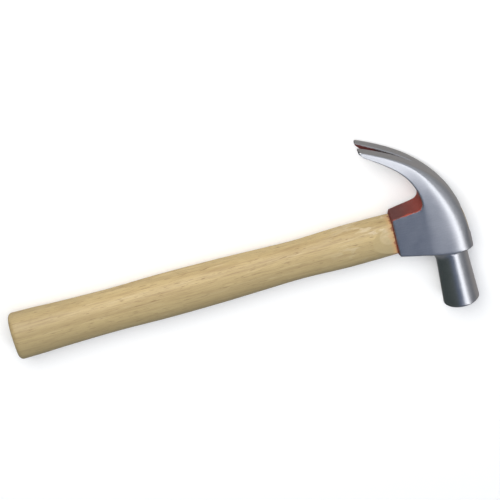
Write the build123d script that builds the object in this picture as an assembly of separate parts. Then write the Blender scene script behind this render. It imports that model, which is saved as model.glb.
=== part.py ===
"""Curved-claw hammer: a forged steel head wedged onto a wooden handle.

The hammer is drawn about the point where the handle's axis crosses the head's axis: +X runs along the
handle towards the crown of the head, +Y along the head towards the claw tips, and +Z out of one cheek,
so that Z = 0 is the plane of symmetry. It is then lifted to lie on its side on the plane Z = 0, with
the origin under the middle of its bounding box. Sizes are in millimetres, angles in degrees.
"""

import os
from math import cos, radians, sin, tan

from build123d import *

# ---- overall ----
overall_length = 330.0  # crown of the head to the end of the butt
claw_reach = 73.0  # handle axis to the claw tips, along the head
face_reach = 65.6  # handle axis to the striking face, along the head
crown_height = 16.1  # head axis to the top of the crown

# ---- poll and striking face ----
face_radius = 13.0
neck_radius = 11.2
face_chamfer = 1.2
ledge_reach = 23.3  # handle axis to the ledge where the body ends and the poll begins

# ---- body, collar and eye ----
cheek_half_width = 11.5
mouth_reach = 37.2  # head axis to the mouth of the collar
eye_height = 24.4  # the eye at the mouth, along the head
eye_width = 12.4  # the eye at the mouth, across the cheeks
eye_corner = 5.2
eye_waist = 0.4  # the eye is this much tighter all round at its waist than at its mouth
eye_flare = 0.9  # and this much wider all round at the crown than at its waist
waist_reach = 12.0  # head axis to the waist, towards the handle
wall_height = 2.7  # collar wall above and below the eye
wall_width = 2.7  # collar wall beside the eye
mouth_chamfer = 1.1
collar_rise = 7.0  # slope of the collar's top
crotch_radius = 6.0
crotch_reach = 18.4  # head axis to the place where the collar's top starts to turn up
belly_reach = 15.0  # head axis to the low corner of the collar's underside
belly_drop = 19.6  # handle axis to that corner
chin_reach = 3.0  # head axis to the place where the underside would meet the ledge

# ---- claws ----
claw_tip_reach = 48.0  # head axis to the claw tips, along the handle
claw_angle = 155.0  # direction of the outer curve at the tips
crotch_lean = 96.7  # direction in which the inner curve leaves the crotch
heel_angle = 145.0  # direction of the inner curve at the tips
tip_bevel = 4.5  # length of the bevel under the tips
heel_thickness = 3.6  # claw where the bevel starts
tip_thickness = 1.3
tip_corner = 3.0  # round on the outer corner of each tip
slot_length = 42.0
slot_mouth = 7.7
slot_end = 0.6  # width of the slot where it ends
slot_draft = 7.0  # each wall of the slot opens towards the underside
crown_start = 15.0  # the outer curve starts this far below the handle's axis
outer_pull = (39.3, 50.6)  # how far each end of the outer curve holds its direction
inner_pull = (21.0, 21.4)  # the same for the inner curve
# sections of the crown and claws: place along the outer curve, half width at the outside, width of the
# corner rounding as a share of that, how many times deeper than wide the rounding is, and how many
# degrees the sides open towards the inside
crown_sections = [
    (0.00, 1.00, 0.66, 1.60, 0.0),
    (0.15, 1.00, 0.64, 1.65, 0.0),
    (0.30, 1.00, 0.60, 1.60, 0.0),
    (0.45, 1.00, 0.50, 1.50, 0.0),
    (0.60, 0.985, 0.30, 1.30, 1.5),
    (0.75, 1.015, 0.12, 1.15, 3.5),
    (0.88, 1.03, 0.085, 1.0, 4.0),
    (1.00, 1.035, 0.07, 1.0, 4.5),
]

# ---- wedges ----
wood_wedge_length = 28.0
wood_wedge_top = 3.6
kerf_width = 1.4  # saw cut in the tenon, and the thin end of the wooden wedge
kerf_depth = 34.0
steel_wedge_length = 18.0
steel_wedge_width = 9.0
steel_wedge_top = 2.4
steel_wedge_tip = 0.6
steel_wedge_offset = 6.4  # handle axis to the middle of each steel wedge
steel_wedge_skew = 24.0
barb_count = 3
barb_step = 0.25
end_recess = 0.4  # the end of the handle lies this far under the crown

# ---- handle ----
shoulder_inset = 0.6  # the shoulder stands this far inside the mouth's outline
shoulder_half_width = 11.2  # half width just behind the shoulder, before its sides are cut flat
shoulder_corner = 9.6
shoulder_cut = 15.5  # length of the flat cut on each side behind the shoulder
butt_round = 3.5
# stations of the handle: share of its length behind the shoulder, half height, half width, corner
handle_stations = [
    (0.06, 14.7, 11.3, 10.2),
    (0.13, 15.0, 11.3, 10.3),
    (0.25, 13.8, 11.0, 10.1),
    (0.35, 14.5, 11.4, 10.2),
    (0.46, 15.4, 11.9, 10.3),
    (0.60, 15.8, 12.2, 10.5),
    (0.74, 15.2, 12.0, 10.4),
    (0.87, 15.9, 12.4, 10.6),
    (0.94, 16.7, 12.7, 10.7),
    (1.00, 17.0, 12.8, 10.8),
]

# ---- worked out from the values above ----
mouth_half_height = eye_height / 2 + wall_height
mouth_half_width = eye_width / 2 + wall_width
handle_length = overall_length - crown_height - mouth_reach
shoulder_half_height = mouth_half_height - shoulder_inset
cut_half_width = mouth_half_width - shoulder_inset
fan_centre = Vector(-claw_tip_reach - 10, -crown_start, 0)  # a ray from here meets the crown once
clear = 30.0  # how far a cutting tool reaches past what it cuts


def heading(angle):
    """The unit vector at an angle from the handle's axis, in the plane of symmetry."""
    return Vector(cos(radians(angle)), sin(radians(angle)), 0)


def outer_curve():
    """The crown and the back of the claws, from the crown's straight part to the tips."""
    start = Vector(crown_height, -crown_start, 0)
    tip = Vector(-claw_tip_reach, claw_reach, 0)
    first = start + outer_pull[0] * heading(90)
    last = tip - outer_pull[1] * heading(claw_angle)
    return Bezier(start, first, last, tip)


def side_profile():
    """The head from the side, without its poll and left wide outside, where the crown trims it."""
    tip = Vector(-claw_tip_reach, claw_reach, 0)
    inward = heading(claw_angle + 90)
    tip_under = tip + tip_thickness * inward
    heel = tip - tip_bevel * heading(claw_angle) + heel_thickness * inward
    past_tip = tip - clear * inward

    run = mouth_reach - crotch_reach
    mouth_top = Vector(-mouth_reach, mouth_half_height, 0)
    rise_end = mouth_top + Vector(run, run * tan(radians(collar_rise)), 0)
    turn = crotch_lean - collar_rise
    crotch = JernArc(rise_end, heading(collar_rise), crotch_radius, turn)
    crotch_end = crotch @ 1
    inner = Bezier(
        crotch_end,
        crotch_end + inner_pull[0] * heading(crotch_lean),
        heel - inner_pull[1] * heading(heel_angle),
        heel,
    )
    rest = Polyline(
        heel,
        tip_under,
        past_tip,
        (crown_height + clear, past_tip.Y),
        (crown_height + clear, -ledge_reach),
        (-chin_reach, -ledge_reach),
        (-belly_reach, -belly_drop),
        (-mouth_reach, -mouth_half_height),
        mouth_top,
    )
    return make_face([Line(mouth_top, rise_end), crotch, inner, rest])


def fan_section(point, half_width, corner, depth, opening):
    """A section of the crown through the fan's centre line: corners rounded outside, sides straight."""
    ray = point - fan_centre
    reach = ray.length
    across = Vector(0, 0, 1)
    out = ray.normalized()
    plane = Plane(origin=fan_centre, x_dir=out, z_dir=out.cross(across))
    near = 1.0
    spread = tan(radians(opening))
    near_half = half_width + (reach - near) * spread
    side_half = half_width + depth * spread
    hold = 0.45 * corner
    hold_down = 0.45 * depth
    side = reach - depth
    flat = half_width - corner
    outline = [
        Line((near, -near_half), (side, -side_half)),
        Bezier(
            (side, -side_half),
            (reach - hold_down, -half_width - hold_down * spread),
            (reach, -flat - corner + hold),
            (reach, -flat),
        ),
        Line((reach, -flat), (reach, flat)),
        Bezier(
            (reach, flat),
            (reach, flat + corner - hold),
            (reach - hold_down, half_width + hold_down * spread),
            (side, side_half),
        ),
        Line((side, side_half), (near, near_half)),
        Line((near, near_half), (near, -near_half)),
    ]
    return plane * make_face(outline)


def crown_envelope():
    """The outside of the head above the ledge: crown, cheeks and claws, without the collar's taper."""
    outer = outer_curve()
    sections = []
    for place, width, corner, deeper, opening in crown_sections:
        half = width * cheek_half_width
        depth = deeper * corner * half
        sections.append(fan_section(outer @ place, half, corner * half, depth, opening))
    past_tip = outer @ 1 + 6 * heading(claw_angle)
    sections.append(fan_section(past_tip, half, corner * half, depth, opening))
    below = extrude(sections[0], clear, dir=(0, -1, 0))
    return loft(sections) + below


def cheek_taper():
    """What the collar loses beside each cheek between the crotch and the mouth."""
    start = -crotch_reach + crotch_radius
    slope = (cheek_half_width - mouth_half_width) / (mouth_reach + start)
    far = -mouth_reach - clear
    outline = Polyline(
        (start, cheek_half_width),
        (start, cheek_half_width + clear),
        (far, cheek_half_width + clear),
        (far, cheek_half_width + slope * (far - start)),
        close=True,
    )
    plane = Plane(origin=(0, mouth_half_height + 8, 0), x_dir=(1, 0, 0), z_dir=(0, -1, 0))
    one = extrude(plane * make_face(outline), 2 * clear)
    return one + mirror(one, Plane.XY)


def mouth_break():
    """What the chamfer round the mouth of the collar takes away."""
    length = 2 * mouth_chamfer
    height = 2 * mouth_half_height
    width = 2 * mouth_half_width
    plane = Plane(origin=(-mouth_reach, 0, 0), x_dir=(0, 1, 0), z_dir=(1, 0, 0))
    narrow = plane * Rectangle(height - length, width - length)
    wide = plane.offset(length) * Rectangle(height + length, width + length)
    around = plane * Rectangle(height + 2 * length, width + 2 * length)
    return extrude(around, length) - loft([narrow, wide], ruled=True)


def eye_section(reach, grow):
    """A section of the eye across the handle's axis, its mouth size grown all round."""
    plane = Plane(origin=(reach, 0, 0), x_dir=(0, 1, 0), z_dir=(1, 0, 0))
    height = eye_height + 2 * grow
    width = eye_width + 2 * grow
    corner = min(eye_corner, 0.45 * width, 0.45 * height)
    return plane * RectangleRounded(height, width, corner)


def eye_solid():
    """The eye's whole shape, which the tenon fills: tight at its waist and flared at the crown."""
    past_crown = 6.0
    mouth = eye_section(-mouth_reach, 0)
    waist = eye_section(-waist_reach, -eye_waist)
    flare = eye_flare * (crown_height + past_crown + waist_reach) / (crown_height + waist_reach)
    top = eye_section(crown_height + past_crown, flare - eye_waist)
    return loft([mouth, waist], ruled=True) + loft([waist, top], ruled=True)


def poll():
    """The round poll, from inside the body to the chamfered striking face."""
    root = -ledge_reach + 12
    outline = Polyline(
        (0, root),
        (neck_radius, root),
        (neck_radius, -ledge_reach),
        (face_radius, face_chamfer - face_reach),
        (face_radius - face_chamfer, -face_reach),
        (0, -face_reach),
        close=True,
    )
    return revolve(make_face(outline), Axis.Y)


def nail_slot():
    """The slot between the claws, cut square to their chord and a little wider at the underside."""
    outer = outer_curve()
    tip = outer @ 1
    end = outer @ (1 - slot_length / outer.length)
    along = (tip - end).normalized()
    out = Vector(0, 0, 1).cross(along) * -1
    run = (tip - end).length
    widening = (slot_mouth - slot_end) / 2 / run
    past = 12.0
    deep = 22.0
    sections = []
    for height, lean in ((clear, 0), (0, 0), (-deep, deep * tan(radians(slot_draft)))):
        plane = Plane(origin=end + height * out, x_dir=along, z_dir=out)
        near = slot_end / 2 + lean
        far = slot_mouth / 2 + widening * past + lean
        outline = Polyline((0, -near), (run + past, -far), (run + past, far), (0, near), close=True)
        sections.append(plane * make_face(outline))
    return loft(sections, ruled=True)


def tip_rounding():
    """What the round on the outer corner of each claw tip takes away."""
    tip = Vector(-claw_tip_reach, claw_reach, 0)
    along = heading(claw_angle)
    plane = Plane(origin=tip, x_dir=along, z_dir=heading(claw_angle - 90))
    half = cheek_half_width * crown_sections[-1][1]
    square = Rectangle(2 * tip_corner, 2 * tip_corner)
    corner = Pos(0, half, 0) * square - Pos(-tip_corner, half - tip_corner, 0) * Circle(tip_corner)
    one = extrude(plane * corner, 2 * heel_thickness, both=True)
    return one + mirror(one, Plane.XY)


def head(crown, eye):
    """The forged head, in one piece."""
    body = extrude(side_profile(), clear, both=True) & crown
    body -= cheek_taper()
    body -= mouth_break()
    body += poll()
    body -= nail_slot()
    body -= tip_rounding()
    body -= eye
    return body


def handle_section(share, half_height, half_width, corner):
    """A rounded section of the handle at a share of its length behind the shoulder."""
    reach = -mouth_reach - share * handle_length
    plane = Plane(origin=(reach, 0, 0), x_dir=(0, 1, 0), z_dir=(1, 0, 0))
    return plane * RectangleRounded(2 * half_height, 2 * half_width, corner)


def side_cuts():
    """The flat cuts that bring the handle's sides down to the width of the mouth."""
    start = -mouth_reach + 1
    far = -mouth_reach - 3 * shoulder_cut
    high = shoulder_half_width + clear
    rise = (shoulder_half_width - cut_half_width) / shoulder_cut
    outline = Polyline(
        (start, cut_half_width - rise),
        (start, high),
        (far, high),
        (far, cut_half_width + 3 * shoulder_cut * rise),
        close=True,
    )
    plane = Plane(origin=(0, 0, 0), x_dir=(1, 0, 0), z_dir=(0, -1, 0))
    one = extrude(plane * make_face(outline), clear, both=True)
    return one + mirror(one, Plane.XY)


def grip():
    """The handle outside the head, from the shoulder to the rounded butt."""
    shoulder = (0, shoulder_half_height, shoulder_half_width, shoulder_corner)
    body = loft([handle_section(*station) for station in [shoulder, *handle_stations]])
    butt = body.faces().sort_by(Axis.X)[0]
    body = fillet(butt.edges(), butt_round)
    return body - side_cuts()


def tapered(length, top, tip, across, slack=4.0):
    """A wedge pointing down the handle from the crown, its thickness along Z and its width along Y."""
    half = (top + (top - tip) * slack / length) / 2
    outline = Polyline(
        (crown_height + slack, -half),
        (crown_height + slack, half),
        (crown_height - length, tip / 2),
        (crown_height - length, -tip / 2),
        close=True,
    )
    plane = Plane(origin=(0, 0, 0), x_dir=(1, 0, 0), z_dir=(0, -1, 0))
    return extrude(plane * make_face(outline), across / 2, both=True)


def barbed_wedge(side):
    """One steel wedge: a blade with stepped barbs, set askew across the wooden wedge."""
    blade = tapered(steel_wedge_length, steel_wedge_top, steel_wedge_tip, steel_wedge_width)
    pitch = steel_wedge_length / (barb_count + 2)
    for i in range(barb_count):
        low = crown_height - (i + 1.5) * pitch
        thick = steel_wedge_top - (steel_wedge_top - steel_wedge_tip) * (i + 1.5) / (barb_count + 2)
        outline = Polyline(
            (low, 0),
            (low, thick / 2 + barb_step),
            (low - pitch * 0.6, thick / 2 - pitch * 0.1),
            (low - pitch * 0.6, 0),
            close=True,
        )
        plane = Plane(origin=(0, 0, 0), x_dir=(1, 0, 0), z_dir=(0, -1, 0))
        barb = extrude(plane * make_face(outline), steel_wedge_width / 2, both=True)
        blade += barb
        blade += mirror(barb, Plane.XY)
    turned = Rot(X=90 - steel_wedge_skew) * blade
    return Pos(Y=side * steel_wedge_offset) * turned


def main():
    crown = crown_envelope()
    eye = eye_solid()
    filled = eye & (Pos(X=-end_recess) * crown)

    slot = tapered(wood_wedge_length, wood_wedge_top, kerf_width, eye_height + 8)
    kerf = Pos(X=crown_height - kerf_depth / 2) * Box(kerf_depth, eye_height + 8, kerf_width)
    lower = filled & barbed_wedge(-1)
    upper = filled & barbed_wedge(1)
    shapes = {
        "head": head(crown, eye),
        "handle": grip() + (filled - slot - kerf - lower - upper),
        "wood_wedge": (filled & slot) - lower - upper,
        "steel_wedge_lower": lower,
        "steel_wedge_upper": upper,
    }
    middle = crown_height - overall_length / 2
    level = (claw_reach - face_reach) / 2
    os.makedirs("parts", exist_ok=True)
    for name, shape in shapes.items():
        lying = Pos(-middle, -level, face_radius) * shape
        export_step(lying, f"parts/{name}.step")


main()
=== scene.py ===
# %% [markdown]
# # A curved-claw hammer
#
# A claw hammer is four kinds of thing: a forged steel head, a length of pale wood, a wooden wedge and
# two steel wedges that keep the one on the other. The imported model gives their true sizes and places.
# This lesson rebuilds the pieces as clean meshes that catch the light as the real ones do, then gives
# each its finish: ground steel, paint left from the dip, varnished ash.

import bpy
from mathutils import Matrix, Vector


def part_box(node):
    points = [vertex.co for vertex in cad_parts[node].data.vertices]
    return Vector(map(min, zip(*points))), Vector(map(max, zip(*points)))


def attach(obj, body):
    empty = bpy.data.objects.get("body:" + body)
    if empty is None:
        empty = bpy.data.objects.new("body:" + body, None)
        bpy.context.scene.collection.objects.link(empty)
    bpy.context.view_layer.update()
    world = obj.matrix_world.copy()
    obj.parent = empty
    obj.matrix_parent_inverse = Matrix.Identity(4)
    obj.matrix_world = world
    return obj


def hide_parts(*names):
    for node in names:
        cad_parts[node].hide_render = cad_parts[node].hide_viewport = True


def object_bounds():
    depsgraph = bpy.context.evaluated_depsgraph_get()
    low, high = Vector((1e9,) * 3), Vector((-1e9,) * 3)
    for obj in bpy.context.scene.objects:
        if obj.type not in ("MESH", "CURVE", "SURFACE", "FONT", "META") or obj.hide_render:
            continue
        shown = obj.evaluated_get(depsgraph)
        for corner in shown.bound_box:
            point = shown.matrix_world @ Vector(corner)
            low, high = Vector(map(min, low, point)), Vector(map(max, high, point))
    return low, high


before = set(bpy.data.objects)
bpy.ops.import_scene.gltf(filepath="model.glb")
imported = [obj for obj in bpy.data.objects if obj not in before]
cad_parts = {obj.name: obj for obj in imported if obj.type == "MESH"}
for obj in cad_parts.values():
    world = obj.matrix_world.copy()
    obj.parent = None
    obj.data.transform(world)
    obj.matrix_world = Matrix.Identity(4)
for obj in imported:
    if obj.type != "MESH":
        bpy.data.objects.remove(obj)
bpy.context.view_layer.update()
print("nodes:", sorted(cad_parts))

# %% Tools for the whole lesson
import math

import bmesh
import bpy
from mathutils import Matrix, Vector

MM = 0.001
head_low, head_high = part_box("head")

# %% [markdown]
# ## One drawing for every piece
#
# A hammer is easiest to draw about the point where the handle's axis crosses the head's: X along the
# handle towards the crown, Y along the head towards the claws, Z out of the upper cheek. The packed
# hammer lies on its side somewhere else, so one small function takes a drawn point to its place.

# %% From the drawing to the frame
CROWN = 16.1  # head axis to the top of the crown, in millimetres as all drawn sizes are
FACE = 65.6  # handle axis to the striking face
origin = Vector((head_high[0] - CROWN * MM, head_low[1] + FACE * MM, (head_low[2] + head_high[2]) / 2))


def place(x, y, z):
    return origin + Vector((x, y, z)) * MM


def finish_mesh(name, bm):
    """Cleans a bmesh, turns its faces outwards and makes it an object."""
    bmesh.ops.remove_doubles(bm, verts=bm.verts[:], dist=1e-6)
    bmesh.ops.recalc_face_normals(bm, faces=bm.faces[:])
    mesh = bpy.data.meshes.new(name)
    bm.to_mesh(mesh)
    bm.free()
    mesh.polygons.foreach_set("use_smooth", [True] * len(mesh.polygons))
    piece = bpy.data.objects.new(name, mesh)
    bpy.context.scene.collection.objects.link(piece)
    return piece


print("drawing origin sits at", [round(v, 4) for v in origin])

# %% [markdown]
# ## Growing a skin ring by ring
#
# Forged shapes change their section all along: round at the poll, flat at the cheek, thin and split at
# the claws. So the skin is grown: a ring of points is extruded, and the new ring is set to the next
# section. A subdivision surface then smooths between the rings, and creases keep the edges that the
# grinder left sharp.

# %% Ring helpers
def new_skin():
    """An empty bmesh with room for creases."""
    bm = bmesh.new()
    bm.edges.layers.float.new("crease_edge")
    bm.verts.layers.float.new("paint")
    bm.faces.layers.float.new("cut")
    return bm


def start_ring(bm, points):
    """A closed ring of vertices at these places."""
    ring = bmesh.ops.create_circle(bm, segments=len(points), radius=MM)["verts"]
    for vert, point in zip(ring, points):
        vert.co = point
    return ring


def path_edges(verts):
    """The edges that join neighbours along an open path."""
    edges = []
    for one, two in zip(verts, verts[1:]):
        edges.append(next(e for e in one.link_edges if e.other_vert(one) == two))
    return edges


def ring_edges(ring):
    """The edges that join neighbours round a closed ring."""
    return path_edges(ring + ring[:1])


def grow(bm, ring, points):
    """Extrudes a closed ring and sets the new one to these places."""
    made = bmesh.ops.extrude_edge_only(bm, edges=ring_edges(ring))["geom"]
    fresh = {v for v in made if isinstance(v, bmesh.types.BMVert)}
    grown = []
    for vert, point in zip(ring, points):
        new = next(e.other_vert(vert) for e in vert.link_edges if e.other_vert(vert) in fresh)
        new.co = point
        grown.append(new)
    return grown


def crease(bm, edges, value):
    layer = bm.edges.layers.float["crease_edge"]
    for edge in edges:
        edge[layer] = value


# %% [markdown]
# ## The head's side view
#
# Two curves carry the whole head. The outer one runs from the crown over the back of the claws, the
# inner one from the crotch along their underside. Both are cubic curves, pulled by two handles each.

# %% The two curves
def heading(angle):
    return Vector((math.cos(math.radians(angle)), math.sin(math.radians(angle))))


def cubic(points, t):
    a, b, c, d = points
    s = 1 - t
    return a * s**3 + b * 3 * s * s * t + c * 3 * s * t * t + d * t**3


TIP = Vector((-48.0, 73.0))
TIP_ANGLE = 155  # direction of the claws' back at the tips
BEVEL, HEEL_THICKNESS, TIP_THICKNESS = 4.5, 3.6, 1.3
across_tip = heading(TIP_ANGLE + 90)
heel = TIP - BEVEL * heading(TIP_ANGLE) + HEEL_THICKNESS * across_tip
tip_under = TIP + TIP_THICKNESS * across_tip
crown_start = Vector((CROWN, -15.0))
OUTER_PULLS, INNER_PULLS = (39.3, 50.6), (21.0, 21.4)  # how hard each end pulls its curve
outer = [
    crown_start,
    crown_start + OUTER_PULLS[0] * heading(90),
    TIP - OUTER_PULLS[1] * heading(TIP_ANGLE),
    TIP,
]
MOUTH, MOUTH_HALF, COLLAR_RISE = -37.2, 14.9, 7.0  # mouth of the collar, its half height, its top's slope
CROTCH_RADIUS, CROTCH_START = 6.0, -18.4
CROTCH_ANGLE, HEEL_ANGLE = 96.7, 145  # directions of the inner curve at its ends
rise = math.tan(math.radians(COLLAR_RISE))
rise_end = Vector((CROTCH_START, MOUTH_HALF + (CROTCH_START - MOUTH) * rise))
bend = rise_end + CROTCH_RADIUS * heading(COLLAR_RISE + 90)  # centre of the crotch's arc
crotch = bend + CROTCH_RADIUS * heading(CROTCH_ANGLE - 90)
inner = [
    crotch,
    crotch + INNER_PULLS[0] * heading(CROTCH_ANGLE),
    heel - INNER_PULLS[1] * heading(HEEL_ANGLE),
    heel,
]
print("claws reach", round(TIP.y, 1), "mm, tips are", round((TIP - tip_under).length, 2), "mm thick")

# %% [markdown]
# ## Sections of the head
#
# Half a section has eleven points: seven across the outside and round its corner, one halfway down the
# side, and three across the inside. On the body the outside's corners are rounded wide and deep.
# Towards the claws it flattens, its corners tighten and the first points edge the nail slot.

# %% Section shape
CHEEK = 11.5  # half width of the head at the cheeks
# place on the outer curve, half width as a share of CHEEK, width of the rounding as a share of that,
# how much deeper than wide the rounding is, opening towards the inside in degrees
SHAPES = [
    (0.00, 1.00, 0.66, 1.60, -1.2),
    (0.15, 1.00, 0.64, 1.65, -1.2),
    (0.30, 1.00, 0.60, 1.60, -1.2),
    (0.45, 1.00, 0.50, 1.50, -0.6),
    (0.60, 0.985, 0.30, 1.30, 1.2),
    (0.75, 1.015, 0.12, 1.15, 3.5),
    (0.88, 1.03, 0.085, 1.00, 4.0),
    (1.00, 1.035, 0.07, 1.00, 4.5),
]
BODY_SHARES = (0.09, 0.20, 0.32, 0.43, 0.60, 0.80, 1.0)  # how the outside is shared out on the body
SLOT_DRAFT = math.tan(math.radians(7))


def shape_at(t):
    """Half width, rounding's width, rounding's depth and opening at a place on the outer curve."""
    for low, high in zip(SHAPES, SHAPES[1:]):
        if t <= high[0]:
            share = max(0.0, (t - low[0]) / (high[0] - low[0]))
            width, corner, deeper, opening = (a + (b - a) * share for a, b in zip(low[1:], high[1:]))
            corner *= CHEEK * width
            return CHEEK * width, corner, corner * deeper, math.tan(math.radians(opening))
    return shape_at(1.0)


def section(out, inn, t, claw, slot, narrow=0.0):
    """Points of a whole ring through the outside at out and the inside at inn."""
    half, corner, deep, opening = shape_at(t)
    half -= narrow
    depth = (out - inn).length
    way = (out - inn).normalized()
    flat = half - corner
    turn = corner * math.pi / 2
    claw_marks = [slot, (slot + flat) / 2, flat] + [flat + turn * k / 4 for k in (1, 2, 3, 4)]
    half_ring = []
    for k in range(7):
        mark = BODY_SHARES[k] * (flat + turn) * (1 - claw) + claw_marks[k] * claw
        if mark <= flat:
            z, down = mark, 0.0
        else:
            angle = (mark - flat) / corner
            z = min(flat + corner * math.sin(angle) * 1.01, half)
            down = max(0.0, deep * (1 - math.cos(angle) * 1.02)) if angle < 1.5 else deep
        half_ring.append((out - way * down, z))
    inside = half + (depth - deep) * opening
    side = half + (depth - deep) * opening * 0.5
    slot_in = slot + depth * SLOT_DRAFT * claw + 1.2 * (1 - claw)
    half_ring.append((out - way * (deep + depth) / 2, side))
    half_ring.append((inn, inside))
    half_ring.append((inn, (inside + slot_in) / 2))
    half_ring.append((inn, slot_in))
    upper = [place(p.x, p.y, z) for p, z in half_ring]
    lower = [place(p.x, p.y, -z) for p, z in reversed(half_ring)]
    return upper + lower


# %% Stations from the ledge to the tips
LEDGE, CHIN = -23.3, -20.4  # foot of the body at the crown, and of the collar
SLOT_START = 0.685  # where the nail slot ends, on the outer curve
BODY_Y = [-13.2, -8.8, -4.4, 0, 4.4, 8.8, 14.0]  # where the body's rows cross the collar's root
BODY_T = [0.0125, 0.054, 0.0955, 0.1375, 0.18, 0.2235, 0.2685]  # and the outer curve
CROTCH_X = -12.4
rows = [(Vector((CROWN, LEDGE)), Vector((CROTCH_X, CHIN)), 0.0, 0.0, 1.5, 0.0)]
for t, y in zip(BODY_T, BODY_Y):
    rows.append((cubic(outer, t), Vector((CROTCH_X, y)), t, 0.0, 1.5, 0.0))
rows.append((cubic(outer, 0.335), bend + Vector((5.47, -3.11)), 0.335, 0.15, 1.2, 0.0))
for t, u, claw in ((0.39, 0.0, 0.3), (0.47, 0.1, 0.5), (0.542, 0.2, 0.7), (0.61, 0.31, 0.88)):
    rows.append((cubic(outer, t), cubic(inner, u), t, claw, 0.9, 0.0))
slot_end = cubic(outer, SLOT_START)
slot_run = (TIP - slot_end).length
SLOT_ROOT, SLOT_GAIN = 0.3, 3.55  # half width of the slot where it ends, and what it gains to the tips


def slot_half(point):
    return SLOT_ROOT + SLOT_GAIN * min(1.0, (point - slot_end).length / slot_run)


SLOT_ROW = len(rows)
for t, u in ((SLOT_START, 0.433), (0.74, 0.53), (0.80, 0.65), (0.86, 0.77), (0.92, 0.90), (0.965, 1.0)):
    out = cubic(outer, t)
    rows.append((out, cubic(inner, u), t, 1.0, slot_half(out), 0.0))
HEEL_ROW = len(rows) - 1
TIP_CORNER = 1.4
for back in (3.0, 1.4, 0.45, 0.0):
    out = TIP - back * heading(TIP_ANGLE)
    under = heel.lerp(tip_under, 1 - back / BEVEL)
    narrow = TIP_CORNER - math.sqrt(TIP_CORNER**2 - max(0.0, TIP_CORNER - back) ** 2)
    rows.append((out, under, 1.0, 1.0, slot_half(out), narrow))
print(len(rows), "stations from the ledge to the tips")

# %% Grow body and claws
bm = new_skin()
rings = [start_ring(bm, section(*rows[0]))]
for row in rows[1:]:
    rings.append(grow(bm, rings[-1], section(*row)))
print("skin of", len(bm.faces), "faces")

# %% [markdown]
# ## Poll and striking face
#
# Below the ledge the head is turned round, so its rings are circles. They start on the ledge, widen
# slowly to the striking face and close it with a few smaller rings. Around the chin, where the
# collar's underside runs into the poll, the first ring is wider and the second lower: a soft fillet.

# %% Grow the poll
NECK_R, FACE_R, FACE_CHAMFER = 11.2, 13.0, 1.2
SIDES = 22  # points of a ring of the head
CIRCLE_GAIN = 1.0137  # the smoothed skin lies this much inside such a ring


def circle_ring(radius, y, chin=0.0, flare=0.0):
    """Places round the poll, in the order of the first ring of the skin."""
    points = []
    for k in range(SIDES):
        angle = math.radians((k + 0.5) * 360 / SIDES)
        soft = max(0.0, -math.cos(angle) - 0.25) / 0.75
        r = radius * CIRCLE_GAIN + flare * soft
        points.append(place(r * math.cos(angle), y - chin * soft, r * math.sin(angle)))
    return points


neck = grow(bm, rings[0], circle_ring(NECK_R, LEDGE, chin=-1.6, flare=3.2))
poll = grow(bm, neck, circle_ring(NECK_R + 0.05, LEDGE - 0.7, chin=3.4, flare=0.1))
for y in (-33.0, -43.0, -53.0, -60.5):
    radius = NECK_R + (FACE_R - NECK_R) * (y - LEDGE) / (FACE_CHAMFER - FACE - LEDGE)
    poll = grow(bm, poll, circle_ring(radius, y))
face_edge = grow(bm, poll, circle_ring(FACE_R, FACE_CHAMFER - FACE))
face_rim = grow(bm, face_edge, circle_ring(FACE_R - FACE_CHAMFER, -FACE))
face_flat = face_rim
for radius in (10.6, 7.5, 3.5):
    face_flat = grow(bm, face_flat, circle_ring(radius, -FACE))
bmesh.ops.contextual_create(bm, geom=ring_edges(face_flat))
print("poll grown,", len(bm.faces), "faces so far")

# %% [markdown]
# ## Opening the slot, the eye and the collar
#
# The nail slot, the eye in the crown and the root of the collar are openings in that skin. Their faces
# are deleted, which leaves tidy loops. The two sides of the slot are bridged. From the other loops the
# skin is grown again: out to the mouth of the collar, in through the eye.

# %% Cut the openings
TOP_R, TOP_L, IN_R, IN_L = 0, 21, 10, 11  # ring places beside the middle, outside and inside


def faces_between(down, across):
    """Faces whose four corners all lie in these rows and ring places."""
    corners = {rings[r][k] for r in down for k in across}
    return [f for f in bm.faces if all(v in corners for v in f.verts)]


def round_block(down, across):
    """The pairs round the border of a block of rows and columns, in order."""
    first = [(down[0], k) for k in across]
    right = [(r, across[-1]) for r in down[1:]]
    last = [(down[-1], k) for k in reversed(across[:-1])]
    left = [(r, across[0]) for r in reversed(down[1:-1])]
    return first + right + last + left


EYE_ROWS, EYE_PLACES = range(1, 8), [18, 19, 20, 21, 0, 1, 2, 3]
COLLAR_ROWS, COLLAR_PLACES = range(0, 9), [8, 9, 10, 11, 12, 13]
CLAW_ROWS = range(SLOT_ROW, len(rings))
eye_top = [rings[r][k] for r, k in round_block(EYE_ROWS, EYE_PLACES)]
collar_root = [rings[r][k] for r, k in round_block(COLLAR_ROWS, COLLAR_PLACES)]
open_faces = faces_between(CLAW_ROWS, [TOP_L, TOP_R]) + faces_between(CLAW_ROWS, [IN_R, IN_L])
open_faces += faces_between(EYE_ROWS, EYE_PLACES) + faces_between(COLLAR_ROWS, COLLAR_PLACES)
bmesh.ops.delete(bm, geom=open_faces, context="FACES")
slot_walls = []
for right_edge, left_edge in ((TOP_R, TOP_L), (IN_R, IN_L)):
    walk = [rings[r][right_edge] for r in reversed(CLAW_ROWS)] + [rings[r][left_edge] for r in CLAW_ROWS]
    slot_walls += path_edges(walk)
bmesh.ops.bridge_loops(bm, edges=slot_walls)
print("opened", len(open_faces), "faces; eye loop", len(eye_top), "and collar loop", len(collar_root))

# %% Close the claw tips
SIDES_OF_SLOT = (list(range(0, 11)), list(range(11, 22)))
for side in SIDES_OF_SLOT:
    bmesh.ops.contextual_create(bm, geom=ring_edges([rings[-1][k] for k in side]))
print("claws closed:", len(bm.faces), "faces")

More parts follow.
